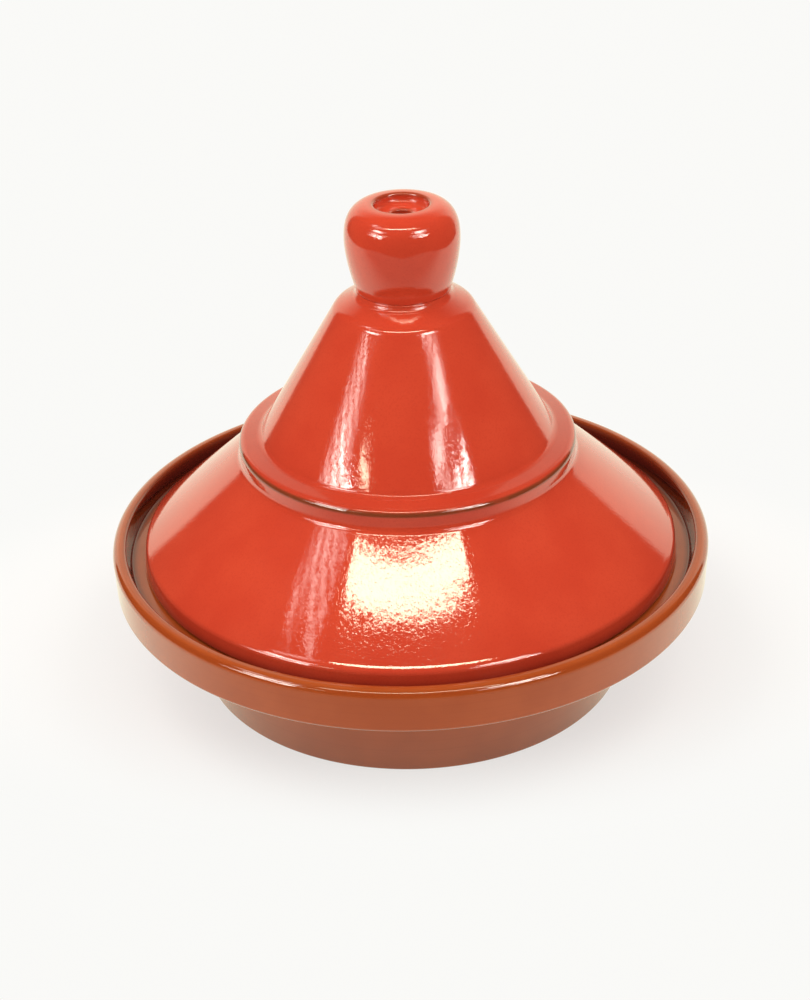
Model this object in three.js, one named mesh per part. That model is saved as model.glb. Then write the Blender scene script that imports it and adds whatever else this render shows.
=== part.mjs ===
// A glazed earthenware tagine: a low cooking dish and a tall conical lid with a hollowed knob.
// Millimetres, +Z up. The origin is the middle of the dish's base, on the table.
import * as THREE from 'three';

// Dish: rim, band and seat for the lid
const DISH_RADIUS = 140.8;
const DISH_HEIGHT = 69;
const BAND_HEIGHT = 20.7;
const BAND_DRAFT = 0.7;
const BAND_EDGE_ROUND = 2;
const RIM_WIDTH = 6.3;
const RIM_OUTER_ROUND = 3.8;
const RIM_INNER_ROUND = 1.6;
const RIM_INNER_DRAFT = 2.2;
const SEAT_DEPTH = 9;
const SEAT_FILLET = 1.2;

// Dish: foot and bowl
const FOOT_RADIUS = 101.8;
const FOOT_FLARE = 3.5;
const FOOT_EDGE_ROUND = 1.2;
const FOOT_FILLET = 6;
const DISH_WALL = 7.5;
const FLOOR_THICKNESS = 9;
const BOWL_MOUTH_ROUND = 5;
const BOWL_FLOOR_FILLET = 16;

// Lid: edge and skirt
const LID_GUTTER = 5.4;
const LID_SEAT_GAP = 0.3;
const LID_EDGE_HEIGHT = 7.7;
const LID_EDGE_DRAFT = 1.7;
const LID_EDGE_BEND = 7.5;
const LID_FOOT_ROUND = 1.5;
const LID_WALL = 7;
const SKIRT_RISE = 42.4;

// Lid: collar with its shelf, and the upper cone
const COLLAR_RADIUS = 78;
const COLLAR_HEIGHT = 9.1;
const COLLAR_BASE_FILLET = 5;
const SHELF_WIDTH = 10.2;
const SHELF_DROP = 1.2;
const SHELF_EDGE_ROUND = 3.5;
const SHELF_FILLET = 4;
const CONE_RISE = 62.8;
const CONE_TOP_RADIUS = 31;
const SHOULDER_ROUND = 9;

// Lid: crown, which flares up to the knob's seat
const CROWN_RADIUS = 21.2;
const CROWN_RISE = 7.3;
const CROWN_THICKNESS = 8.5;
const COVE_REACH = 0.6;
const COVE_LIFT = 5;
const COVE_ROUND = 4;
const LID_INSIDE_FILLET = 4;

// Knob and the steam vent that runs down through it
const KNOB_RADIUS = 25.8;
const KNOB_HEIGHT = 39.7;
const KNOB_WIDEST_HEIGHT = 23.7;
const KNOB_LIP_RADIUS = 13.5;
const KNOB_LIP_ROUND = 1.4;
const KNOB_FLARE_POWER = 1.7;
const KNOB_SHOULDER_POWER = 2.5;
const CUP_RADIUS = 12;
const CUP_DEPTH = 4.7;
const CUP_FLOOR_FILLET = 2.5;
const VENT_RADIUS = 4.2;
const VENT_EDGE_ROUND = 0.8;

// Fineness of the turned surfaces
const FACETS = 48;
const ARC_STEP = THREE.MathUtils.degToRad(30);
const KNOB_FLARE_STEPS = 5;
const KNOB_SHOULDER_STEPS = 6;
const LARGEST_ARCS_SHARE = 0.98;

// Heights that the pieces share
const seatHeight = DISH_HEIGHT - SEAT_DEPTH;
const bandUnderside = DISH_HEIGHT - BAND_HEIGHT;
const lidFoot = seatHeight + LID_SEAT_GAP;
const lidBend = lidFoot + LID_EDGE_HEIGHT;
const collarBase = lidBend + SKIRT_RISE;
const shelfHeight = collarBase + COLLAR_HEIGHT;
const coneBase = shelfHeight + SHELF_DROP;
const coneTop = coneBase + CONE_RISE;
const crownHeight = coneTop + CROWN_RISE;

// Radii that the pieces share
const rimInnerTop = DISH_RADIUS - RIM_WIDTH;
const rimInnerFoot = rimInnerTop - RIM_INNER_DRAFT;
const lidRadius = rimInnerFoot - LID_GUTTER;
const lidBendRadius = lidRadius - LID_EDGE_DRAFT;
const coneBaseRadius = COLLAR_RADIUS - SHELF_WIDTH;

const brownGlaze = new THREE.MeshStandardMaterial({ color: 0xa55939, roughness: 0.25, metalness: 0 });
const redGlaze = new THREE.MeshStandardMaterial({ color: 0xd2452c, roughness: 0.12, metalness: 0 });
const redGlazeKnob = redGlaze.clone();

// One corner of a turned outline: its radius, its height and the arc that rounds it
function corner(radius, height, round = 0) {
  return { at: new THREE.Vector2(radius, height), round };
}

// The most of a side that a corner's arc may take up: the rounder of the side's two corners has more of it
function roomOnSide(side, here, neighbour) {
  return (LARGEST_ARCS_SHARE * side.length() * here.round) / (here.round + neighbour.round);
}

// The points that replace a corner: the corner itself, or an arc that touches both of its sides
function roundedCorner(before, here, after) {
  if (here.round === 0) {
    return [here.at];
  }
  const back = before.at.clone().sub(here.at);
  const ahead = after.at.clone().sub(here.at);
  const halfAngle = back.angleTo(ahead) / 2;
  const room = Math.min(roomOnSide(back, here, before), roomOnSide(ahead, here, after));
  const reach = Math.min(here.round / Math.tan(halfAngle), room);
  const radius = reach * Math.tan(halfAngle);
  const middle = back.clone().normalize().add(ahead.clone().normalize()).normalize();
  const centre = here.at.clone().addScaledVector(middle, radius / Math.sin(halfAngle));
  const first = here.at.clone().addScaledVector(back.normalize(), reach).sub(centre);
  const turn = Math.PI - 2 * halfAngle;
  const way = Math.sign(ahead.cross(back));
  const steps = Math.max(1, Math.ceil(turn / ARC_STEP));
  const points = [];
  for (let step = 0; step <= steps; step += 1) {
    const spoke = first.clone().rotateAround(new THREE.Vector2(), (way * turn * step) / steps);
    points.push(spoke.add(centre));
  }
  return points;
}

// A closed ring of corners, each rounded as it asks
function roundedOutline(corners) {
  const count = corners.length;
  return corners.flatMap((here, index) => {
    const before = corners[(index + count - 1) % count];
    const after = corners[(index + 1) % count];
    return roundedCorner(before, here, after);
  });
}

// The inner face of a sloping wall that runs from one corner up to another
function insideOfWall(low, high, wall) {
  const run = (low.radius - high.radius) / (high.height - low.height);
  const inset = wall * Math.hypot(1, run);
  return {
    radiusAt: (height) => low.radius - run * (height - low.height) - inset,
    heightAt: (radius) => low.height + (low.radius - inset - radius) / run,
  };
}

// A body turned about +Z from its outline, which runs up its outside and down its inside
function turnedBody(name, outline, material) {
  const geometry = new THREE.LatheGeometry(outline, FACETS);
  geometry.rotateX(Math.PI / 2);
  const body = new THREE.Mesh(geometry, material);
  body.name = name;
  return body;
}

// The cooking dish: flat base, near-upright foot, banded rim and a sunk seat for the lid
function makeDish() {
  const footTopRadius = FOOT_RADIUS + FOOT_FLARE;
  const footWall = insideOfWall(
    { radius: FOOT_RADIUS, height: 0 },
    { radius: footTopRadius, height: bandUnderside },
    DISH_WALL,
  );
  const outline = roundedOutline([
    corner(0, 0),
    corner(FOOT_RADIUS, 0, FOOT_EDGE_ROUND),
    corner(footTopRadius, bandUnderside, FOOT_FILLET),
    corner(DISH_RADIUS - BAND_DRAFT, bandUnderside, BAND_EDGE_ROUND),
    corner(DISH_RADIUS, DISH_HEIGHT, RIM_OUTER_ROUND),
    corner(rimInnerTop, DISH_HEIGHT, RIM_INNER_ROUND),
    corner(rimInnerFoot, seatHeight, SEAT_FILLET),
    corner(footWall.radiusAt(seatHeight), seatHeight, BOWL_MOUTH_ROUND),
    corner(footWall.radiusAt(FLOOR_THICKNESS), FLOOR_THICKNESS, BOWL_FLOOR_FILLET),
    corner(0, FLOOR_THICKNESS),
  ]);
  return turnedBody('dish', outline, brownGlaze);
}

// The lid shell: upright edge, sloping skirt, stepped collar, upper cone and the knob's crown
function makeLid() {
  const skirt = insideOfWall(
    { radius: lidBendRadius, height: lidBend },
    { radius: COLLAR_RADIUS, height: collarBase },
    LID_WALL,
  );
  const cone = insideOfWall(
    { radius: coneBaseRadius, height: coneBase },
    { radius: CONE_TOP_RADIUS, height: coneTop },
    LID_WALL,
  );
  const insideEdge = lidRadius - LID_WALL;
  const insideCollar = COLLAR_RADIUS - LID_WALL;
  const insideShelf = shelfHeight - LID_WALL;
  const insideCrown = crownHeight - CROWN_THICKNESS;
  const outline = roundedOutline([
    corner(lidRadius, lidFoot, LID_FOOT_ROUND),
    corner(lidBendRadius, lidBend, LID_EDGE_BEND),
    corner(COLLAR_RADIUS, collarBase, COLLAR_BASE_FILLET),
    corner(COLLAR_RADIUS, shelfHeight, SHELF_EDGE_ROUND),
    corner(coneBaseRadius, coneBase, SHELF_FILLET),
    corner(CONE_TOP_RADIUS, coneTop, SHOULDER_ROUND),
    corner(CROWN_RADIUS + COVE_REACH, coneTop + COVE_LIFT, COVE_ROUND),
    corner(CROWN_RADIUS, crownHeight),
    corner(VENT_RADIUS, crownHeight),
    corner(VENT_RADIUS, insideCrown, VENT_EDGE_ROUND),
    corner(cone.radiusAt(insideCrown), insideCrown, LID_INSIDE_FILLET),
    corner(cone.radiusAt(insideShelf), insideShelf, LID_INSIDE_FILLET),
    corner(insideCollar, insideShelf, LID_INSIDE_FILLET),
    corner(insideCollar, skirt.heightAt(insideCollar), LID_INSIDE_FILLET),
    corner(insideEdge, skirt.heightAt(insideEdge), LID_INSIDE_FILLET),
    corner(insideEdge, lidFoot, LID_FOOT_ROUND),
  ]);
  outline.push(outline[0].clone());
  return turnedBody('lid', outline, redGlaze);
}

// The knob's outside: a flare from the crown up to its widest girth, then a full shoulder to the lip
function knobOutside() {
  const widest = crownHeight + KNOB_WIDEST_HEIGHT;
  const shoulderRise = KNOB_HEIGHT - KNOB_WIDEST_HEIGHT;
  const points = [];
  for (let step = 0; step < KNOB_FLARE_STEPS; step += 1) {
    const drop = 1 - step / KNOB_FLARE_STEPS;
    const taper = (KNOB_RADIUS - CROWN_RADIUS) * drop ** KNOB_FLARE_POWER;
    points.push(corner(KNOB_RADIUS - taper, widest - KNOB_WIDEST_HEIGHT * drop));
  }
  for (let step = 0; step < KNOB_SHOULDER_STEPS; step += 1) {
    const angle = (step / KNOB_SHOULDER_STEPS) * (Math.PI / 2);
    const across = Math.cos(angle) ** (2 / KNOB_SHOULDER_POWER);
    const up = Math.sin(angle) ** (2 / KNOB_SHOULDER_POWER);
    const radius = KNOB_LIP_RADIUS + (KNOB_RADIUS - KNOB_LIP_RADIUS) * across;
    points.push(corner(radius, widest + shoulderRise * up));
  }
  return points;
}

// The knob: a turned grip with a shallow cup in its top and the vent running down to the lid
function makeKnob() {
  const knobTop = crownHeight + KNOB_HEIGHT;
  const cupFloor = knobTop - CUP_DEPTH;
  const outline = roundedOutline([
    ...knobOutside(),
    corner(KNOB_LIP_RADIUS, knobTop),
    corner(CUP_RADIUS, knobTop, KNOB_LIP_ROUND),
    corner(CUP_RADIUS, cupFloor, CUP_FLOOR_FILLET),
    corner(VENT_RADIUS, cupFloor, VENT_EDGE_ROUND),
    corner(VENT_RADIUS, crownHeight),
  ]);
  outline.push(outline[0].clone());
  return turnedBody('knob', outline, redGlazeKnob);
}

const lidWithKnob = new THREE.Group();
lidWithKnob.add(makeLid(), makeKnob());

const tagine = new THREE.Group();
tagine.add(makeDish(), lidWithKnob);

export default tagine;
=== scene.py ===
# A glazed earthenware tagine: a brown cooking dish and a red conical lid with a vented knob.
# Metres, +Z up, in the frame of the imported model.
import math

import bmesh
import bpy
from mathutils import Euler, Matrix, Vector


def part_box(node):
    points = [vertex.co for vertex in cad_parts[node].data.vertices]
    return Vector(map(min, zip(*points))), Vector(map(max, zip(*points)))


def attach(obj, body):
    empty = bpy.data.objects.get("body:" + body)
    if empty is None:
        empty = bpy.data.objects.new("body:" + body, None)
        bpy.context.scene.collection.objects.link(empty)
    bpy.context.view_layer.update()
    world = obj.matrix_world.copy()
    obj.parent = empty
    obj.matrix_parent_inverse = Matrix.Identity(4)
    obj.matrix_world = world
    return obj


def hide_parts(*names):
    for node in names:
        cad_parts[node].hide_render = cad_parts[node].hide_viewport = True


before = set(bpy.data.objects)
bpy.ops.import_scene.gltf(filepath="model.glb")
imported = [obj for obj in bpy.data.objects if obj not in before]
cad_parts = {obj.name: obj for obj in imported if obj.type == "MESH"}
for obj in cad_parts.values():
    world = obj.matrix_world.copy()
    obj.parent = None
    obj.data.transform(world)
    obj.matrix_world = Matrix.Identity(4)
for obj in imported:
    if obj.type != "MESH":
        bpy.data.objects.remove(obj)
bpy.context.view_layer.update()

MM = 0.001
dish_low, dish_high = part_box("dish")
lid_low, lid_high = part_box("lid")
knob_low, knob_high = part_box("knob")

# Dish: rim, band and seat for the lid
DISH_RADIUS = 140.8 * MM
BAND_HEIGHT = 20.7 * MM
BAND_DRAFT = 0.7 * MM
BAND_EDGE_ROUND = 2 * MM
RIM_WIDTH = 6.3 * MM
RIM_OUTER_ROUND = 3.8 * MM
RIM_INNER_ROUND = 1.6 * MM
RIM_INNER_DRAFT = 2.2 * MM
SEAT_DEPTH = 9 * MM
SEAT_FILLET = 1.2 * MM

# Dish: foot and bowl
FOOT_RADIUS = 101.8 * MM
FOOT_FLARE = 3.5 * MM
FOOT_EDGE_ROUND = 1.2 * MM
FOOT_FILLET = 6 * MM
DISH_WALL = 7.5 * MM
FLOOR_THICKNESS = 9 * MM
BOWL_MOUTH_ROUND = 5 * MM
BOWL_FLOOR_FILLET = 16 * MM

# Lid: edge with its fine bead, skirt, collar with its shelf, upper cone and crown
LID_EDGE_HEIGHT = 7.7 * MM
LID_EDGE_DRAFT = 1.7 * MM
LID_EDGE_BEND = 4 * MM
LID_BEAD_REACH = 2.3 * MM
LID_BEAD_WIDTH = 0.8 * MM
LID_BEAD_LIFT = 0.056 * MM
LID_FOOT_ROUND = 1.5 * MM
LID_WALL = 7 * MM
SKIRT_RISE = 42.4 * MM
COLLAR_RADIUS = 78 * MM
COLLAR_HEIGHT = 9.1 * MM
COLLAR_BASE_FILLET = 5 * MM
SHELF_WIDTH = 10.2 * MM
SHELF_DROP = 1.2 * MM
SHELF_EDGE_ROUND = 3.5 * MM
SHELF_FILLET = 4 * MM
CONE_RISE = 62.8 * MM
CONE_TOP_RADIUS = 31 * MM
SHOULDER_ROUND = 9 * MM
CROWN_RADIUS = 21.2 * MM
CROWN_THICKNESS = 8.5 * MM
COVE_REACH = 0.6 * MM
COVE_LIFT = 5 * MM
COVE_ROUND = 4 * MM
LID_INSIDE_FILLET = 4 * MM

# Knob and the steam vent that runs down through it
KNOB_WIDEST_HEIGHT = 23.7 * MM
KNOB_LIP_RADIUS = 13.5 * MM
KNOB_LIP_ROUND = 1.4 * MM
KNOB_FLARE_POWER = 1.7
KNOB_SHOULDER_SQUARENESS = 2.5
CUP_RADIUS = 12 * MM
CUP_DEPTH = 4.7 * MM
CUP_FLOOR_FILLET = 2.5 * MM
VENT_RADIUS = 4.2 * MM
VENT_EDGE_ROUND = 0.8 * MM

# Fineness of the turned surfaces
STEPS_AROUND = 192
ARC_STEP = math.radians(7.5)
LONGEST_STEP = 2 * MM
STEP_BY_ARC = 0.2 * MM
KNOB_CURVE_STEPS = 24
LARGEST_ARCS_SHARE = 0.98
RAIL_RADIUS = 50 * MM
MERGE_DISTANCE = 0.001 * MM

# The slight unevenness of a hand-finished pot, which leaves out the heights where pieces meet or stand
WAVER = 0.12 * MM
WAVER_SIZE = 38 * MM
WAVER_DETAIL = 1
STILL_REACH = 6 * MM

# How thin the glaze is on each edge, and how strong the painted shade is in each place, where 1 is the most
BAND_EDGE_THIN = 0.5
RIM_OUTER_THIN = 1
RIM_INNER_THIN = 0.6
BOWL_MOUTH_THIN = 0.5
SHELF_EDGE_THIN = 1
CUP_LIP_THIN = 0.6
VENT_EDGE_THIN = 0.5
SEAT_PAINTED_SHADE = 1
LID_FOOT_PAINTED_SHADE = 0.8
SHELF_PAINTED_SHADE = 0.19

# How far thin glaze or painted shade reaches to either side, and how far along the outline from its corner
# it lies
THIN_REACH = 1.2 * MM
PAINTED_SHADE_REACH = 5.5 * MM
REACH_SHARPNESS = 4
SHELF_THIN_SHIFT = -THIN_REACH
SEAT_SHADE_SHIFT = -SEAT_DEPTH / 2.6
LID_FOOT_SHADE_SHIFT = -2 * LID_FOOT_ROUND

# Which finish a stretch of an outline has
GLAZED = "glazed"
INSIDE = "inside"
BARE = "bare"

# Red glaze, its thin edges, its painted shade, the glaze inside the lid and bare clay
RED_DEEP = (0.63, 0.054, 0.022, 1)
RED_BRIGHT = (0.67, 0.064, 0.026, 1)
RED_GRAIN = (0.56, 0.042, 0.018, 1)
RED_PAINTED_SHADE = (0.16, 0.012, 0.008, 1)
THIN_BROWN = (0.22, 0.045, 0.014, 1)
INSIDE_BROWN = (0.30, 0.078, 0.028, 1)
CLAY = (0.46, 0.19, 0.10, 1)

# Clear glaze over brown clay, deeper on the edges, and nearly black where shade is painted down the rim's
# inside
BROWN_DEEP = (0.40, 0.068, 0.012, 1)
BROWN_BRIGHT = (0.44, 0.080, 0.016, 1)
BROWN_RING = (0.36, 0.058, 0.010, 1)
BROWN_EDGE = (0.36, 0.056, 0.009, 1)
BROWN_PAINTED_SHADE = (0.069, 0.0095, 0.006, 1)

# Gloss of the glazes and of bare clay
RED_ROUGHNESS = 0.035
DULL_ROUGHNESS = 0.07
BROWN_ROUGHNESS = 0.06
CLAY_ROUGHNESS = 0.8
COAT_ROUGHNESS = 0.03
RED_COAT = 0.78
BROWN_COAT = 0.88
GLAZE_IOR = 1.5

# Sizes and depths of the marks in the glazes, and the radius at which the pits have their width
NOISE_DETAIL = 2
CLOUD_SIZE = 26 * MM
GRAIN_SIZE = 0.9 * MM
EDGE_PATCH_SIZE = 9 * MM
PEEL_SIZE = 0.8 * MM
PEEL_DEPTH = 0.003 * MM
PIT_WIDTH = 0.95 * MM
PIT_HEIGHT = 1.9 * MM
PIT_DEPTH = 0.0055 * MM
PIT_GIRTH_RADIUS = 80 * MM
RIPPLE_SIZE = 7 * MM
RIPPLE_DEPTH = 0.03 * MM
RING_SIZE = 1.4 * MM
RING_DEPTH = 0.008 * MM

# Between which two levels of its noise a mark grows from nothing to full, and the share that some reach
CLOUD_EDGES = (0.3, 0.7)
GRAIN_EDGES = (0.45, 0.75)
GRAIN_SHARE = 0.4
DULL_EDGES = (0.5, 0.58)
EDGE_PATCH_EDGES = (0.2, 0.5)
EDGE_PATCH_LEAST = 0.7
PIT_EDGES = (0.46, 0.64)
RING_EDGES = (0.5, 0.8)
RING_SHARE = 0.3

# Times this, a vector loses its height
FLATTEN = Vector((1, 1, 0))

# Camera of the photograph
CAMERA_PLACE = Vector((0, -0.8273, 0.5491))
CAMERA_PITCH = math.radians(29.47)
CAMERA_YAW = math.radians(-0.14)
CAMERA_ROLL = math.radians(-1.64)
CAMERA_LENS = 72.46
CAMERA_SENSOR = 36
CAMERA_REACH = 50

# Studio: the table, the white backdrop behind it and the dim room in front
BACKDROP = (0.955, 0.952, 0.932, 1)
MIRRORED_BACKDROP = (1.0, 0.95, 0.74, 1)
BACKDROP_WAY = Vector((0.061, 0.998, 0))
BACKDROP_SIDE_EDGE = (0.68, 0.72)
BACKDROP_TOP_EDGE = (0.86, 0.28)
ROOM_LEVEL = 0.045
AMBIENT_LEVEL = 0.63
TABLE_COLOUR = (0.90, 0.872, 0.845, 1)
TABLE_MIDDLE = Vector((-0.065, 0.69, -0.0003))
TABLE_HALF_WIDTH = 0.675
TABLE_HALF_DEPTH = 1.25
TABLE_SQUARENESS = 6
TABLE_STEPS = 96
TABLE_FRONT_FADE = (-0.25, -0.05)
TABLE_FRONT_LEVEL = 0.3
TABLE_SHADOW_MIDDLE = Vector((0, 0.03, 0))
TABLE_SHADOW_SHAPE = Vector((0.72, 1.12, 1))
TABLE_SHADOW_FADE = (0.12, 0.205)
TABLE_PLAIN_SHARE = 0.65
TABLE_MIRRORED_SHARE = 0.9

# Lamps stand on a dome around the pot; azimuths count to the right from the camera's side, in degrees
LAMP_AIM = Vector((0, 0, 0.12))
LAMP_DISTANCE = 1.4

# Soft boxes that light the clay: azimuths and radiance
SOFTBOX_ELEVATIONS = (35, 75)
SOFTBOX_COLOUR = (1.0, 0.99, 0.97)
SOFTBOXES = [
    ("front_softbox", (-30, 30), 1.5),
    ("left_softbox", (-115, -65), 4.1),
    ("right_softbox", (65, 115), 3.0),
]

# A bowed row of ceiling panels, and one far off
PANEL_COUNT = 15
PANEL_AZIMUTHS = (-46, 43)
PANEL_MIDDLE = 3
PANEL_ELEVATION = 59.9
PANEL_DROP = 2.9
PANEL_HEIGHT = 2.9
PANEL_RADIANCE = 17.5
PANEL_COLOUR = (1.0, 0.97, 0.70)
FAR_PANEL_AZIMUTHS = (-41, -32)
FAR_PANEL_ELEVATIONS = (28.0, 28.9)

# Panes of the windows: azimuths, elevations, the bars of light that the blinds leave, and the mean radiance
# of each column from left to right
BLIND_SHARE = 0.5
WINDOW_COLOUR = (1.0, 0.96, 0.88)
WINDOWS = [
    ("left_lower", (-71, -49.5), (18, 26.3), 5, (2.5, 5, 9, 13, 9)),
    ("left_bright", (-49.5, -41), (17, 27.2), 4, (10, 18, 10)),
    ("left_upper", (-71, -49.5), (26.3, 31), 3, (1.2, 3, 4.5, 4.5, 2)),
    ("left_high", (-68, -44), (34, 41), 1, (12, 16, 14, 10)),
    ("left_low_top", (-75, -63), (46, 49), 2, (0.8, 2.2, 0.8)),
    ("left_top", (-78, -52), (49, 56), 4, (1.2, 2.8, 2.9, 2)),
    ("left_crest", (-88, -78), (48.5, 57), 1, (3, 6, 5)),
    ("right_lower", (21.5, 33), (22, 29.6), 5, (2, 3.5, 3)),
    ("right_inner", (21.5, 33), (29.6, 31.2), 1, (8, 11, 8)),
    ("right_middle", (33, 41.5), (20, 28.8), 5, (6, 9, 14)),
    ("right_outer", (43, 51.5), (20, 27.8), 5, (13, 16, 12)),
    ("right_upper", (29, 51), (30.2, 32.3), 1, (1.7, 5, 11.5, 9, 1.7)),
    ("right_faint", (31, 51), (32.3, 35.5), 2, (1.7, 3, 3.5, 1.2)),
    ("right_high", (28, 52), (35.5, 44), 1, (10, 15, 15, 10)),
]


# Makes a node, with its settings and its unlinked inputs given by name
def add_node(tree, kind, settings=None, **values):
    node = tree.nodes.new(kind)
    for name, value in (settings or {}).items():
        setattr(node, name, value)
    for name, value in values.items():
        node.inputs[name.replace("_", " ")].default_value = value
    return node


# Links a socket to an input, or sets the input to a plain value
def feed(tree, end, source):
    if isinstance(source, bpy.types.NodeSocket):
        tree.links.new(source, end)
    else:
        end.default_value = source


# An operation on one or two numbers, each plain or a socket
def reckon(tree, operation, *numbers):
    node = add_node(tree, "ShaderNodeMath", {"operation": operation})
    for end, number in zip(node.inputs, numbers):
        feed(tree, end, number)
    return node.outputs["Value"]


# An operation on a vector and, where it takes one, a second vector
def reckon_vector(tree, operation, *vectors, result="Vector"):
    node = add_node(tree, "ShaderNodeVectorMath", {"operation": operation})
    for end, vector in zip(node.inputs, vectors):
        feed(tree, end, vector)
    return node.outputs[result]


def scale_vector(tree, vector, factor):
    node = add_node(tree, "ShaderNodeVectorMath", {"operation": "SCALE"})
    feed(tree, node.inputs["Vector"], vector)
    feed(tree, node.inputs["Scale"], factor)
    return node.outputs["Vector"]


def axis_of(tree, vector, axis):
    node = add_node(tree, "ShaderNodeSeparateXYZ")
    tree.links.new(vector, node.inputs["Vector"])
    return node.outputs[axis]


# Which way a vector points as seen from above, with a length of 1
def level_bearing(tree, vector):
    return reckon_vector(tree, "NORMALIZE", reckon_vector(tree, "MULTIPLY", vector, FLATTEN))


# Goes smoothly from low to high while a value goes from the first edge to the second
def ease(tree, value, edges, low=0, high=1):
    start, end = edges
    limits = {"From_Min": start, "From_Max": end, "To_Min": low, "To_Max": high}
    node = add_node(tree, "ShaderNodeMapRange", {"interpolation_type": "SMOOTHSTEP"}, **limits)
    tree.links.new(value, node.inputs["Value"])
    return node.outputs["Result"]


# One level or colour where share is 0 and another where it is 1, each plain or a socket
def blend(tree, share, low, high, kind="FLOAT"):
    node = add_node(tree, "ShaderNodeMix", {"data_type": kind})
    tree.links.new(share, node.inputs["Factor"])
    feed(tree, node.inputs["A"], low)
    feed(tree, node.inputs["B"], high)
    return node.outputs["Result"]


# A point on a square of half-width 1 with well rounded corners
def rounded_square(angle, squareness):
    sides = (math.cos(angle), math.sin(angle))
    return [math.copysign(abs(side) ** (2 / squareness), side) for side in sides]


# One corner of a turned outline: radius, height, rounding, how thin the glaze is there or how strong its
# painted shade is, how far along from the corner that lies, and the finish after it
def corner(radius, height, rounding=0, thin=0, painted_shade=0, shift=0, finish=GLAZED):
    at = Vector((radius, height))
    return {"at": at, "round": rounding, "thin": thin, "painted_shade": painted_shade, "shift": shift, "finish": finish}


# The most of a side that a corner's arc may take up: the rounder of the side's two corners has more of it
def room_on_side(side, here, neighbour):
    return LARGEST_ARCS_SHARE * side.length * here["round"] / (here["round"] + neighbour["round"])


# The points that replace a corner: the corner itself, or an arc that touches both of its sides
def rounded_corner(before, here, after):
    if here["round"] == 0:
        return [here["at"].copy()]
    back = before["at"] - here["at"]
    ahead = after["at"] - here["at"]
    half_angle = back.angle(ahead) / 2
    room = min(room_on_side(back, here, before), room_on_side(ahead, here, after))
    reach = min(here["round"] / math.tan(half_angle), room)
    radius = reach * math.tan(half_angle)
    middle = (back.normalized() + ahead.normalized()).normalized()
    centre = here["at"] + middle * (radius / math.sin(half_angle))
    first = here["at"] + back.normalized() * reach - centre
    turn = math.pi - 2 * half_angle
    way = math.copysign(1, ahead.x * back.y - ahead.y * back.x)
    steps = max(1, math.ceil(turn / ARC_STEP))
    return [centre + Matrix.Rotation(way * turn * step / steps, 2) @ first for step in range(steps + 1)]


# The inner face of a sloping wall that runs from one corner up to another
class InsideOfWall:
    def __init__(self, low, high, wall):
        self.low = Vector(low)
        self.run = (low[0] - high[0]) / (high[1] - low[1])
        self.inset = wall * math.hypot(1, self.run)

    def radius_at(self, height):
        return self.low.x - self.run * (height - self.low.y) - self.inset

    def height_at(self, radius):
        return self.low.y + (self.low.x - self.inset - radius) / self.run


def store(mesh, name, values):
    attribute = mesh.attributes.new(name, "FLOAT", "POINT")
    attribute.data.foreach_set("value", values)


# A finished outline: its points in order, the finish at each, and where the glaze is thin or shade is
# painted
class Outline:
    def __init__(self, corners, closed):
        self.closed = closed
        self.points = []
        self.finishes = []
        self.thin_places = []
        self.painted_shade_places = []
        count = len(corners)
        for index, here in enumerate(corners):
            arc = rounded_corner(corners[index - 1], here, corners[(index + 1) % count])
            for point in arc:
                self.add(point, here["finish"])
            middle = len(self.points) - 1 - len(arc) // 2
            self.thin_places.append((middle, here["shift"], here["thin"]))
            self.painted_shade_places.append((middle, here["shift"], here["painted_shade"]))
        if closed:
            self.add(self.points[0].copy(), corners[-1]["finish"])
            self.points.pop()
            self.finishes.pop()

    # Adds a point, with steps on the way to it: short ones for smooth shading, and one close to either end,
    # so that the shading of a straight side doesn't start to bend before its arcs do
    def add(self, point, finish):
        if self.points:
            start = self.points[-1]
            way_finish = self.finishes[-1]
            length = (point - start).length
            steps = math.ceil(length / LONGEST_STEP)
            shares = [step / steps for step in range(1, steps)]
            if shares:
                shares = [STEP_BY_ARC / length, *shares, 1 - STEP_BY_ARC / length]
            for share in shares:
                self.points.append(start.lerp(point, share))
                self.finishes.append(way_finish)
        self.points.append(point)
        self.finishes.append(finish)

    def lengths_along(self):
        total = 0
        values = [total]
        for start, end in zip(self.points, self.points[1:]):
            total += (end - start).length
            values.append(total)
        return values

    # How strong a mark is at each point: full at its places, and gone beyond its reach
    def marked(self, places, reach):
        along = self.lengths_along()
        values = []
        for here in along:
            shares = [
                strength * math.exp(-((here - along[middle] - shift) / reach) ** REACH_SHARPNESS)
                for middle, shift, strength in places
            ]
            values.append(max(shares))
        return values

    # The outline as a wire, upright in the XZ plane, with what the glazes read stored on its points
    def wire(self, name):
        mesh = bpy.data.meshes.new(name)
        count = len(self.points)
        edges = [(index, index + 1) for index in range(count - 1)]
        if self.closed:
            edges.append((count - 1, 0))
        mesh.from_pydata([(point.x, 0, point.y) for point in self.points], edges, [])
        store(mesh, "glaze_thin", self.marked(self.thin_places, THIN_REACH))
        # The share of painted shade at each point
        store(mesh, "painted_shade_mask", self.marked(self.painted_shade_places, PAINTED_SHADE_REACH))
        store(mesh, "along", self.lengths_along())
        store(mesh, "inside", [float(finish == INSIDE) for finish in self.finishes])
        store(mesh, "bare", [float(finish == BARE) for finish in self.finishes])
        return mesh


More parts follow.
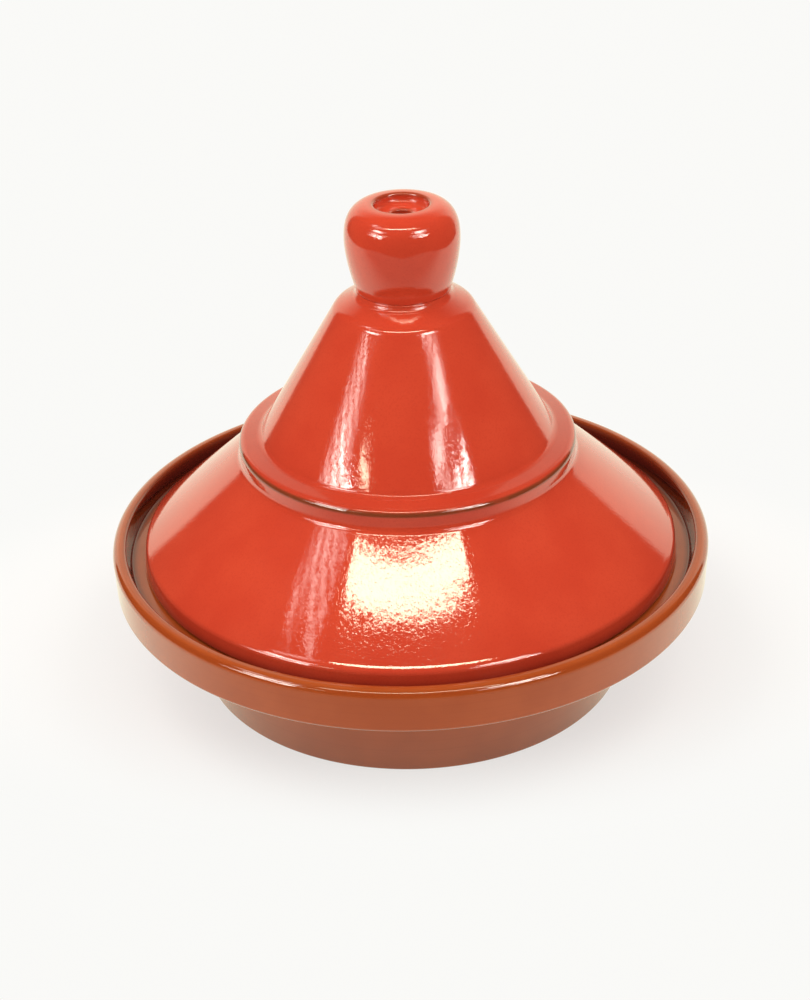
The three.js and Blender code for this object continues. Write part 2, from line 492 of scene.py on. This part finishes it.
# The rule that turns an outline about +Z and gives the clay its slight waver
def turned_clay_tree():
    tree = bpy.data.node_groups.new("turned_clay", "GeometryNodeTree")
    for name, kind in [
        ("Outline", "NodeSocketGeometry"),
        ("Steps Around", "NodeSocketInt"),
        ("Waver", "NodeSocketFloat"),
        ("Waver Size", "NodeSocketFloat"),
        ("Still Height", "NodeSocketFloat"),
        ("Glaze", "NodeSocketMaterial"),
    ]:
        tree.interface.new_socket(name, in_out="INPUT", socket_type=kind)
    tree.interface.new_socket("Clay", in_out="OUTPUT", socket_type="NodeSocketGeometry")
    given = tree.nodes.new("NodeGroupInput").outputs
    link = tree.links.new

    # The outline lies down beside a round rail, which carries it around the axis
    laid = add_node(tree, "GeometryNodeTransform")
    laid.inputs["Rotation"].default_value = Euler((math.pi / 2, 0, 0))
    laid.inputs["Translation"].default_value = (-RAIL_RADIUS, 0, 0)
    link(given["Outline"], laid.inputs["Geometry"])
    section = add_node(tree, "GeometryNodeMeshToCurve")
    link(laid.outputs["Geometry"], section.inputs["Mesh"])
    rail = add_node(tree, "GeometryNodeCurvePrimitiveCircle", Radius=RAIL_RADIUS)
    link(given["Steps Around"], rail.inputs["Resolution"])
    turned = add_node(tree, "GeometryNodeCurveToMesh")
    link(rail.outputs["Curve"], turned.inputs["Curve"])
    link(section.outputs["Curve"], turned.inputs["Profile Curve"])

    # The surface dips inwards by the waver, less and less towards the height that stays still
    bumps = add_node(tree, "ShaderNodeTexNoise", Detail=WAVER_DETAIL)
    link(reckon(tree, "DIVIDE", 1, given["Waver Size"]), bumps.inputs["Scale"])
    place = add_node(tree, "GeometryNodeInputPosition").outputs["Position"]
    rise = reckon(tree, "SUBTRACT", axis_of(tree, place, "Z"), given["Still Height"])
    looseness = ease(tree, reckon(tree, "ABSOLUTE", rise), (0, STILL_REACH))
    depth = reckon(tree, "MULTIPLY", bumps.outputs["Fac"], given["Waver"])
    dip = reckon(tree, "MULTIPLY", depth, looseness)
    facing = add_node(tree, "GeometryNodeInputNormal").outputs["Normal"]
    moved = add_node(tree, "GeometryNodeSetPosition")
    link(turned.outputs["Mesh"], moved.inputs["Geometry"])
    link(scale_vector(tree, facing, dip), moved.inputs["Offset"])

    smooth = add_node(tree, "GeometryNodeSetShadeSmooth")
    link(moved.outputs["Geometry"], smooth.inputs["Geometry"])
    real = add_node(tree, "GeometryNodeRealizeInstances")
    link(smooth.outputs["Geometry"], real.inputs["Geometry"])
    glazed = add_node(tree, "GeometryNodeSetMaterial")
    link(real.outputs["Geometry"], glazed.inputs["Geometry"])
    link(given["Glaze"], glazed.inputs["Material"])
    link(glazed.outputs["Geometry"], tree.nodes.new("NodeGroupOutput").inputs["Clay"])
    return tree


# Sets a modifier's inputs by their sockets' identifiers
def set_inputs(modifier, values):
    for item in modifier.node_group.interface.items_tree:
        if item.name in values:
            modifier[item.identifier] = values[item.name]


# Merges the poles and the seam, and points the faces outwards
def close_mesh(mesh):
    work = bmesh.new()
    work.from_mesh(mesh)
    bmesh.ops.remove_doubles(work, verts=work.verts, dist=MERGE_DISTANCE)
    bmesh.ops.dissolve_degenerate(work, edges=work.edges, dist=MERGE_DISTANCE)
    bmesh.ops.recalc_face_normals(work, faces=work.faces)
    work.to_mesh(mesh)
    work.free()


# A piece of clay turned from its outline, as a plain mesh
def turn_piece(name, outline, tree, glaze, still_height):
    blank = bpy.data.objects.new(name + "_blank", outline.wire(name + "_outline"))
    bpy.context.scene.collection.objects.link(blank)
    modifier = blank.modifiers.new("turning", "NODES")
    modifier.node_group = tree
    set_inputs(modifier, {
        "Steps Around": STEPS_AROUND,
        "Waver": WAVER,
        "Waver Size": WAVER_SIZE,
        "Still Height": still_height,
        "Glaze": glaze,
    })
    depsgraph = bpy.context.evaluated_depsgraph_get()
    mesh = bpy.data.meshes.new_from_object(blank.evaluated_get(depsgraph), depsgraph=depsgraph)
    bpy.data.objects.remove(blank)
    close_mesh(mesh)
    mesh.name = name
    piece = bpy.data.objects.new(name, mesh)
    bpy.context.scene.collection.objects.link(piece)
    return piece


# The dish's outline: flat bare base, near-upright foot, banded rim, sunk seat and bowl
def dish_outline():
    height = dish_high.z
    seat = height - SEAT_DEPTH
    band_underside = height - BAND_HEIGHT
    foot_top = FOOT_RADIUS + FOOT_FLARE
    rim_inner_top = DISH_RADIUS - RIM_WIDTH
    seat_radius = rim_inner_top - RIM_INNER_DRAFT
    foot_wall = InsideOfWall((FOOT_RADIUS, 0), (foot_top, band_underside), DISH_WALL)
    return Outline([
        corner(0, 0, finish=BARE),
        corner(FOOT_RADIUS, 0, FOOT_EDGE_ROUND),
        corner(foot_top, band_underside, FOOT_FILLET),
        corner(DISH_RADIUS - BAND_DRAFT, band_underside, BAND_EDGE_ROUND, thin=BAND_EDGE_THIN),
        corner(DISH_RADIUS, height, RIM_OUTER_ROUND, thin=RIM_OUTER_THIN),
        corner(rim_inner_top, height, RIM_INNER_ROUND, thin=RIM_INNER_THIN),
        # Painted shade: nearly black down the rim's inside wall to the seat, where the lid shades it
        corner(seat_radius, seat, SEAT_FILLET, painted_shade=SEAT_PAINTED_SHADE, shift=SEAT_SHADE_SHIFT),
        corner(foot_wall.radius_at(seat), seat, BOWL_MOUTH_ROUND, thin=BOWL_MOUTH_THIN),
        corner(foot_wall.radius_at(FLOOR_THICKNESS), FLOOR_THICKNESS, BOWL_FLOOR_FILLET),
        corner(0, FLOOR_THICKNESS),
    ], closed=False)


# The fine bead at the foot of the lid's skirt: its crest, and where it starts
def lid_bead(bend_radius, bend):
    skirt_foot = Vector((bend_radius, bend))
    up_skirt = Vector((COLLAR_RADIUS - bend_radius, SKIRT_RISE)).normalized()
    off_skirt = Vector((up_skirt.y, -up_skirt.x))
    crest = skirt_foot + up_skirt * LID_BEAD_REACH + off_skirt * LID_BEAD_LIFT
    start = skirt_foot + up_skirt * (LID_BEAD_REACH + LID_BEAD_WIDTH)
    return [corner(*crest), corner(*start)]


# The lid's outline: up its red outside to the crown, down the vent and the brown inside to the bare foot
def lid_outline():
    radius = lid_high.x
    foot = lid_low.z
    crown = lid_high.z
    bend = foot + LID_EDGE_HEIGHT
    collar_base = bend + SKIRT_RISE
    shelf = collar_base + COLLAR_HEIGHT
    cone_base = shelf + SHELF_DROP
    cone_top = cone_base + CONE_RISE
    bend_radius = radius - LID_EDGE_DRAFT
    cone_radius = COLLAR_RADIUS - SHELF_WIDTH
    skirt = InsideOfWall((bend_radius, bend), (COLLAR_RADIUS, collar_base), LID_WALL)
    cone = InsideOfWall((cone_radius, cone_base), (CONE_TOP_RADIUS, cone_top), LID_WALL)
    inside_edge = radius - LID_WALL
    inside_collar = COLLAR_RADIUS - LID_WALL
    inside_shelf = shelf - LID_WALL
    inside_crown = crown - CROWN_THICKNESS
    return Outline([
        # Painted shade: dark red low on the lid's edge wall, where the rim shades it
        corner(radius, foot, LID_FOOT_ROUND, painted_shade=LID_FOOT_PAINTED_SHADE, shift=LID_FOOT_SHADE_SHIFT),
        corner(bend_radius, bend, LID_EDGE_BEND),
        *lid_bead(bend_radius, bend),
        corner(COLLAR_RADIUS, collar_base, COLLAR_BASE_FILLET),
        corner(COLLAR_RADIUS, shelf, SHELF_EDGE_ROUND, thin=SHELF_EDGE_THIN, shift=SHELF_THIN_SHIFT),
        # Painted shade: a faint darkening across the middle of the shelf
        corner(COLLAR_RADIUS - SHELF_WIDTH / 2, shelf + SHELF_DROP / 2, painted_shade=SHELF_PAINTED_SHADE),
        corner(cone_radius, cone_base, SHELF_FILLET),
        corner(CONE_TOP_RADIUS, cone_top, SHOULDER_ROUND),
        corner(CROWN_RADIUS + COVE_REACH, cone_top + COVE_LIFT, COVE_ROUND),
        corner(CROWN_RADIUS, crown),
        corner(VENT_RADIUS, crown, finish=INSIDE),
        corner(VENT_RADIUS, inside_crown, VENT_EDGE_ROUND, finish=INSIDE),
        corner(cone.radius_at(inside_crown), inside_crown, LID_INSIDE_FILLET, finish=INSIDE),
        corner(cone.radius_at(inside_shelf), inside_shelf, LID_INSIDE_FILLET, finish=INSIDE),
        corner(inside_collar, inside_shelf, LID_INSIDE_FILLET, finish=INSIDE),
        corner(inside_collar, skirt.height_at(inside_collar), LID_INSIDE_FILLET, finish=INSIDE),
        corner(inside_edge, skirt.height_at(inside_edge), LID_INSIDE_FILLET, finish=INSIDE),
        corner(inside_edge, foot, LID_FOOT_ROUND, finish=BARE),
    ], closed=True)


# The knob's outside: a flare from the crown up to its widest girth, then a full shoulder to the lip
def knob_outside():
    radius = knob_high.x
    widest = knob_low.z + KNOB_WIDEST_HEIGHT
    shoulder_rise = knob_high.z - widest
    corners = []
    for step in range(KNOB_CURVE_STEPS):
        drop = 1 - step / KNOB_CURVE_STEPS
        taper = (radius - CROWN_RADIUS) * drop ** KNOB_FLARE_POWER
        corners.append(corner(radius - taper, widest - KNOB_WIDEST_HEIGHT * drop))
    for step in range(KNOB_CURVE_STEPS):
        angle = step / KNOB_CURVE_STEPS * math.pi / 2
        across, up = rounded_square(angle, KNOB_SHOULDER_SQUARENESS)
        lean = (radius - KNOB_LIP_RADIUS) * across
        corners.append(corner(KNOB_LIP_RADIUS + lean, widest + shoulder_rise * up))
    return corners


# The knob's outline: its outside, the lip, the shallow cup and the vent
def knob_outline():
    top = knob_high.z
    cup_floor = top - CUP_DEPTH
    return Outline([
        *knob_outside(),
        corner(KNOB_LIP_RADIUS, top),
        corner(CUP_RADIUS, top, KNOB_LIP_ROUND, thin=CUP_LIP_THIN),
        corner(CUP_RADIUS, cup_floor, CUP_FLOOR_FILLET),
        corner(VENT_RADIUS, cup_floor, VENT_EDGE_ROUND, thin=VENT_EDGE_THIN),
        corner(VENT_RADIUS, knob_low.z),
    ], closed=True)


# The parts that every glaze shares: its shader, and helpers that add to its tree
class Glaze:
    def __init__(self, name, coat):
        self.material = bpy.data.materials.new(name)
        self.material.use_nodes = True
        self.tree = self.material.node_tree
        self.shader = self.tree.nodes["Principled BSDF"]
        self.shader.inputs["IOR"].default_value = GLAZE_IOR
        self.shader.inputs["Coat Weight"].default_value = coat
        self.shader.inputs["Coat Roughness"].default_value = COAT_ROUGHNESS
        self.place = add_node(self.tree, "ShaderNodeTexCoord").outputs["Object"]

    def link(self, start, end):
        self.tree.links.new(start, end)

    # What the outline stored on the surface
    def stored(self, name):
        return add_node(self.tree, "ShaderNodeAttribute", {"attribute_name": name}).outputs["Fac"]

    def noise(self, place, size=1):
        node = add_node(self.tree, "ShaderNodeTexNoise", Scale=1 / size, Detail=NOISE_DETAIL)
        self.link(place, node.inputs["Vector"])
        return node.outputs["Fac"]

    # Noise with marks of one size, spread over the object's own space
    def marks(self, size):
        return self.noise(self.place, size)

    # Noise on the turned surface, with marks of one width around the piece and one height along its outline
    def turned_marks(self, width, height):
        around = scale_vector(self.tree, level_bearing(self.tree, self.place), PIT_GIRTH_RADIUS / width)
        along = add_node(self.tree, "ShaderNodeCombineXYZ")
        self.link(reckon(self.tree, "DIVIDE", self.stored("along"), height), along.inputs["Z"])
        return self.noise(reckon_vector(self.tree, "ADD", around, along.outputs["Vector"]))

    # Noise that changes only along the outline, so that it runs around the piece in rings
    def rings(self, size):
        settings = {"noise_dimensions": "1D"}
        node = add_node(self.tree, "ShaderNodeTexNoise", settings, Scale=1 / size, Detail=NOISE_DETAIL)
        self.link(self.stored("along"), node.inputs["W"])
        return node.outputs["Fac"]

    def spread(self, value, edges=(0, 1), low=0, high=1):
        return ease(self.tree, value, edges, low, high)

    # One colour over another, where share is 1
    def over(self, under, upper, share):
        return blend(self.tree, share, under, upper, kind="RGBA")

    # Raises the surface by up to depth where height is 1
    def raised(self, height, depth, normal=None):
        node = add_node(self.tree, "ShaderNodeBump", Distance=depth)
        self.link(height, node.inputs["Height"])
        if normal is not None:
            self.link(normal, node.inputs["Normal"])
        return node.outputs["Normal"]

    def finish(self, colour, roughness, normal):
        self.link(colour, self.shader.inputs["Base Color"])
        self.link(roughness, self.shader.inputs["Roughness"])
        self.link(normal, self.shader.inputs["Normal"])
        self.link(normal, self.shader.inputs["Coat Normal"])
        return self.material


# Opaque red glaze: finely grained, with an uneven skin, brown where it thins, and with painted shade low on
# the lid's edge and on the shelf
def red_glaze():
    glaze = Glaze("red_glaze", RED_COAT)
    colour = glaze.over(RED_DEEP, RED_BRIGHT, glaze.spread(glaze.marks(CLOUD_SIZE), CLOUD_EDGES))
    grains = glaze.marks(GRAIN_SIZE)
    colour = glaze.over(colour, RED_GRAIN, glaze.spread(grains, GRAIN_EDGES, high=GRAIN_SHARE))
    patches = glaze.spread(glaze.marks(EDGE_PATCH_SIZE), EDGE_PATCH_EDGES, low=EDGE_PATCH_LEAST)
    thin = reckon(glaze.tree, "MULTIPLY", glaze.stored("glaze_thin"), patches)
    colour = glaze.over(colour, THIN_BROWN, thin)
    # Painted shade, dark red, as the outline stored it
    colour = glaze.over(colour, RED_PAINTED_SHADE, glaze.stored("painted_shade_mask"))
    colour = glaze.over(colour, INSIDE_BROWN, glaze.stored("inside"))
    bare = glaze.stored("bare")
    colour = glaze.over(colour, CLAY, bare)
    dullness = glaze.spread(grains, DULL_EDGES, RED_ROUGHNESS, DULL_ROUGHNESS)
    roughness = blend(glaze.tree, bare, dullness, CLAY_ROUGHNESS)
    normal = glaze.raised(glaze.marks(RIPPLE_SIZE), RIPPLE_DEPTH)
    normal = glaze.raised(glaze.marks(PEEL_SIZE), PEEL_DEPTH, normal)
    pits = glaze.spread(glaze.turned_marks(PIT_WIDTH, PIT_HEIGHT), PIT_EDGES)
    normal = glaze.raised(pits, PIT_DEPTH, normal)
    return glaze.finish(colour, roughness, normal)


# Clear glaze over brown clay, with faint turning rings, deeper orange on the edges, and a bare base
def brown_glaze():
    glaze = Glaze("brown_glaze", BROWN_COAT)
    colour = glaze.over(BROWN_DEEP, BROWN_BRIGHT, glaze.spread(glaze.marks(CLOUD_SIZE), CLOUD_EDGES))
    rings = glaze.rings(RING_SIZE)
    colour = glaze.over(colour, BROWN_RING, glaze.spread(rings, RING_EDGES, high=RING_SHARE))
    colour = glaze.over(colour, BROWN_EDGE, glaze.stored("glaze_thin"))
    # Painted shade, nearly black, as the outline stored it
    colour = glaze.over(colour, BROWN_PAINTED_SHADE, glaze.stored("painted_shade_mask"))
    bare = glaze.stored("bare")
    colour = glaze.over(colour, CLAY, bare)
    roughness = glaze.spread(bare, low=BROWN_ROUGHNESS, high=CLAY_ROUGHNESS)
    normal = glaze.raised(rings, RING_DEPTH)
    normal = glaze.raised(glaze.marks(RIPPLE_SIZE), RIPPLE_DEPTH, normal)
    return glaze.finish(colour, roughness, normal)


# Each piece rides on its body and stands for its node of the frame
def make_pieces():
    tree = turned_clay_tree()
    red = red_glaze()
    brown = brown_glaze()
    dish = turn_piece("glazed_dish", dish_outline(), tree, brown, dish_low.z)
    lid = turn_piece("glazed_lid", lid_outline(), tree, red, lid_high.z)
    knob = turn_piece("glazed_knob", knob_outline(), tree, red, knob_low.z)
    for piece, body, node, slot in [
        (dish, "dish", "dish", "brown_glaze"),
        (lid, "lid", "lid", "red_glaze"),
        (knob, "lid", "knob", "red_glaze"),
    ]:
        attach(piece, body)
        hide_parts(node)


# Whether a ray comes straight from the camera or by way of a mirror or glass
def seen_rays(tree):
    path = add_node(tree, "ShaderNodeLightPath").outputs
    straight = reckon(tree, "MAXIMUM", path["Is Camera Ray"], path["Is Glossy Ray"])
    return reckon(tree, "MAXIMUM", straight, path["Is Transmission Ray"])


# The backdrop's colour, warmer where the glaze mirrors it
def backdrop_colour(tree):
    mirrored = add_node(tree, "ShaderNodeLightPath").outputs["Is Glossy Ray"]
    return blend(tree, mirrored, BACKDROP, MIRRORED_BACKDROP, kind="RGBA")


# Pale table: lit and shadowed near the pot, plain backdrop colour further out, dimmer in front in mirrors
def table_material():
    material = bpy.data.materials.new("table")
    material.use_nodes = True
    tree = material.node_tree
    link = tree.links.new
    tree.nodes.remove(tree.nodes["Principled BSDF"])
    place = add_node(tree, "ShaderNodeTexCoord").outputs["Object"]
    mirrored = add_node(tree, "ShaderNodeLightPath").outputs["Is Glossy Ray"]

    # The share of the plain colour
    apart = reckon_vector(tree, "SUBTRACT", place, TABLE_SHADOW_MIDDLE)
    shaped = reckon_vector(tree, "MULTIPLY", apart, TABLE_SHADOW_SHAPE)
    reach = reckon_vector(tree, "LENGTH", shaped, result="Value")
    fade = ease(tree, reach, TABLE_SHADOW_FADE, low=TABLE_PLAIN_SHARE)
    plainness = blend(tree, mirrored, fade, TABLE_MIRRORED_SHARE)
    share = reckon(tree, "MULTIPLY", plainness, seen_rays(tree))

    # The level of the plain colour
    back = ease(tree, axis_of(tree, place, "Y"), TABLE_FRONT_FADE)
    mirrored_level = blend(tree, back, TABLE_FRONT_LEVEL, 1)
    level = blend(tree, mirrored, 1, mirrored_level)

    plain = add_node(tree, "ShaderNodeEmission")
    link(backdrop_colour(tree), plain.inputs["Color"])
    link(level, plain.inputs["Strength"])
    lit = add_node(tree, "ShaderNodeBsdfDiffuse", Color=TABLE_COLOUR)
    mix = add_node(tree, "ShaderNodeMixShader")
    link(share, mix.inputs["Fac"])
    link(lit.outputs["BSDF"], mix.inputs[1])
    link(plain.outputs["Emission"], mix.inputs[2])
    link(mix.outputs["Shader"], tree.nodes["Material Output"].inputs["Surface"])
    return material


# A table top with well rounded corners
def make_table():
    mesh = bpy.data.meshes.new("table")
    corners = []
    for step in range(TABLE_STEPS):
        across, along = rounded_square(2 * math.pi * step / TABLE_STEPS, TABLE_SQUARENESS)
        corners.append(TABLE_MIDDLE + Vector((TABLE_HALF_WIDTH * across, TABLE_HALF_DEPTH * along, 0)))
    mesh.from_pydata(corners, [], [range(TABLE_STEPS)])
    mesh.materials.append(table_material())
    table = bpy.data.objects.new("table", mesh)
    bpy.context.scene.collection.objects.link(table)


# The world: white to the camera, soft light on the clay, and in the glaze a white backdrop in a dim room
def make_world():
    world = bpy.data.worlds.new("studio")
    world.use_nodes = True
    bpy.context.scene.world = world
    tree = world.node_tree
    direction = add_node(tree, "ShaderNodeTexCoord").outputs["Generated"]
    bearing = level_bearing(tree, direction)
    facing = reckon_vector(tree, "DOT_PRODUCT", bearing, BACKDROP_WAY, result="Value")
    behind = ease(tree, facing, BACKDROP_SIDE_EDGE)
    below = ease(tree, axis_of(tree, direction, "Z"), BACKDROP_TOP_EDGE)
    backdrop = reckon(tree, "MULTIPLY", behind, below)
    path = add_node(tree, "ShaderNodeLightPath").outputs
    room = blend(tree, path["Is Glossy Ray"], AMBIENT_LEVEL, ROOM_LEVEL)
    lit = blend(tree, backdrop, room, 1)
    level = blend(tree, path["Is Camera Ray"], lit, 1)
    background = tree.nodes["Background"]
    tree.links.new(backdrop_colour(tree), background.inputs["Color"])
    tree.links.new(level, background.inputs["Strength"])


# A flat lamp that faces the pot and fills a range of azimuths and of elevations; it either shows in the
# glaze or lights the clay
def add_lamp(name, azimuths, elevations, radiance, colour, lights_clay=False):
    azimuth = math.radians(sum(azimuths) / 2)
    elevation = math.radians(sum(elevations) / 2)
    level = math.cos(elevation)
    lamp = bpy.data.lights.new(name, "AREA")
    lamp.shape = "RECTANGLE"
    lamp.size = LAMP_DISTANCE * level * math.radians(azimuths[1] - azimuths[0])
    lamp.size_y = LAMP_DISTANCE * math.radians(elevations[1] - elevations[0])
    lamp.energy = radiance * math.pi * lamp.size * lamp.size_y
    lamp.color = colour
    away = Vector((math.sin(azimuth) * level, -math.cos(azimuth) * level, math.sin(elevation)))
    holder = bpy.data.objects.new(name, lamp)
    holder.location = LAMP_AIM + away * LAMP_DISTANCE
    holder.rotation_euler = (-away).to_track_quat("-Z", "Y").to_euler()
    holder.visible_camera = False
    holder.visible_diffuse = lights_clay
    holder.visible_glossy = not lights_clay
    bpy.context.scene.collection.objects.link(holder)


# Wide soft boxes at the front and the sides, which light the clay and don't show in the glaze
def make_softboxes():
    for name, azimuths, radiance in SOFTBOXES:
        add_lamp(name, azimuths, SOFTBOX_ELEVATIONS, radiance, SOFTBOX_COLOUR, lights_clay=True)


# The ceiling panels stand side by side in a row that drops a little towards its ends
def make_ceiling_lamps():
    first, last = PANEL_AZIMUTHS
    width = (last - first) / PANEL_COUNT
    for index in range(PANEL_COUNT):
        start = first + index * width
        off_middle = (start + width / 2 - PANEL_MIDDLE) / (last - PANEL_MIDDLE)
        middle = PANEL_ELEVATION - PANEL_DROP * off_middle ** 2
        elevations = (middle - PANEL_HEIGHT / 2, middle + PANEL_HEIGHT / 2)
        add_lamp(f"ceiling_panel_{index}", (start, start + width), elevations, PANEL_RADIANCE, PANEL_COLOUR)
    add_lamp("far_panel", FAR_PANEL_AZIMUTHS, FAR_PANEL_ELEVATIONS, PANEL_RADIANCE, PANEL_COLOUR)


# The windows: most stand behind level blinds, and each column has its own mean radiance
def make_windows():
    for name, azimuths, elevations, bars, columns in WINDOWS:
        width = (azimuths[1] - azimuths[0]) / len(columns)
        pitch = (elevations[1] - elevations[0]) / bars
        share = BLIND_SHARE if bars > 1 else 1
        for column, radiance in enumerate(columns):
            left = azimuths[0] + column * width
            for bar in range(bars):
                low = elevations[0] + bar * pitch
                place = (left, left + width), (low, low + pitch * share)
                add_lamp(f"{name}_{column}_{bar}", *place, radiance / share, WINDOW_COLOUR)


def make_camera():
    camera = bpy.data.cameras.new("camera")
    camera.lens = CAMERA_LENS
    camera.sensor_width = CAMERA_SENSOR
    camera.clip_end = CAMERA_REACH
    holder = bpy.data.objects.new("camera", camera)
    yaw = Matrix.Rotation(-CAMERA_YAW, 4, "Z")
    pitch = Matrix.Rotation(math.pi / 2 - CAMERA_PITCH, 4, "X")
    roll = Matrix.Rotation(CAMERA_ROLL, 4, "Z")
    holder.matrix_world = Matrix.Translation(CAMERA_PLACE) @ yaw @ pitch @ roll
    bpy.context.scene.collection.objects.link(holder)
    bpy.context.scene.camera = holder


make_camera()
make_pieces()
make_table()
make_world()
make_softboxes()
make_ceiling_lamps()
make_windows()
bpy.context.scene.view_settings.view_transform = "Standard"
